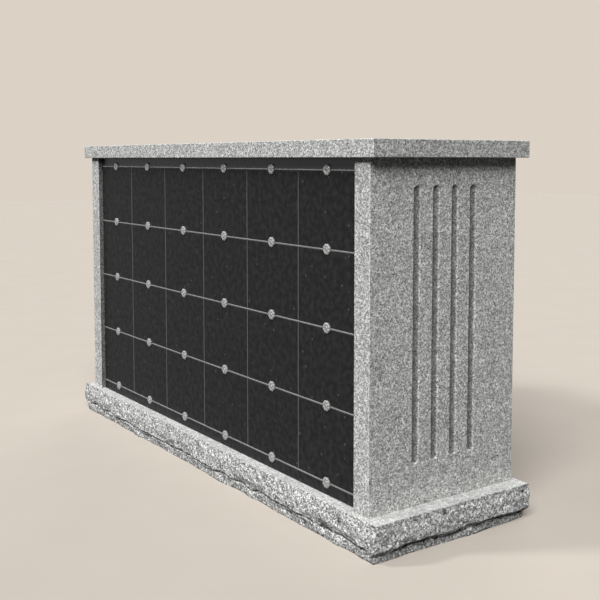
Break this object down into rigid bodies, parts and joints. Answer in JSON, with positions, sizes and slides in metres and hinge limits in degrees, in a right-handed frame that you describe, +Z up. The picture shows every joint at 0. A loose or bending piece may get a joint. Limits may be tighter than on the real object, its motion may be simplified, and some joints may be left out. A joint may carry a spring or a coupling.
{
  "type": "columbarium wall",
  "caption": "Free-standing granite columbarium wall: rock-faced base, fluted end slabs, plain cap, and black polished niche fronts held by rosettes on both long sides.",
  "frame": {"origin": "middle of the base's flat underside", "axes": "+X along the wall, -Y towards the front, +Z up"},
  "size_m": [2.7864, 0.852, 1.5946],
  "materials": {
    "grey_granite": "light grey speckled granite, sawn and steeled, rock pitched on the base",
    "black_granite": "polished black granite with fine light flecks",
    "cast_concrete": "plain cast concrete, hidden",
    "satin_metal": "satin silver grey, slightly weathered"
  },
  "bodies": {
    "root": {"base_slab": "grey_granite", "end_slab_left": "grey_granite", "end_slab_right": "grey_granite", "cap_slab": "grey_granite", "niche_core": "cast_concrete", "front_panel_r1c1": "black_granite", "front_panel_r1c2": "black_granite", "front_panel_r1c3": "black_granite", "front_panel_r1c4": "black_granite", "front_panel_r1c5": "black_granite", "front_panel_r1c6": "black_granite", "front_panel_r2c1": "black_granite", "front_panel_r2c2": "black_granite", "front_panel_r2c3": "black_granite", "front_panel_r2c4": "black_granite", "front_panel_r2c5": "black_granite", "front_panel_r2c6": "black_granite", "front_panel_r3c1": "black_granite", "front_panel_r3c2": "black_granite", "front_panel_r3c3": "black_granite", "front_panel_r3c4": "black_granite", "front_panel_r3c5": "black_granite", "front_panel_r3c6": "black_granite", "front_panel_r4c1": "black_granite", "front_panel_r4c2": "black_granite", "front_panel_r4c3": "black_granite", "front_panel_r4c4": "black_granite", "front_panel_r4c5": "black_granite", "front_panel_r4c6": "black_granite", "front_head_strip": "black_granite", "front_foot_strip": "black_granite", "front_mounting_grid": "satin_metal", "rear_panel_r1c1": "black_granite", "rear_panel_r1c2": "black_granite", "rear_panel_r1c3": "black_granite", "rear_panel_r1c4": "black_granite", "rear_panel_r1c5": "black_granite", "rear_panel_r1c6": "black_granite", "rear_panel_r2c1": "black_granite", "rear_panel_r2c2": "black_granite", "rear_panel_r2c3": "black_granite", "rear_panel_r2c4": "black_granite", "rear_panel_r2c5": "black_granite", "rear_panel_r2c6": "black_granite", "rear_panel_r3c1": "black_granite", "rear_panel_r3c2": "black_granite", "rear_panel_r3c3": "black_granite", "rear_panel_r3c4": "black_granite", "rear_panel_r3c5": "black_granite", "rear_panel_r3c6": "black_granite", "rear_panel_r4c1": "black_granite", "rear_panel_r4c2": "black_granite", "rear_panel_r4c3": "black_granite", "rear_panel_r4c4": "black_granite", "rear_panel_r4c5": "black_granite", "rear_panel_r4c6": "black_granite", "rear_head_strip": "black_granite", "rear_foot_strip": "black_granite", "rear_mounting_grid": "satin_metal"}
  },
  "joints": []
}
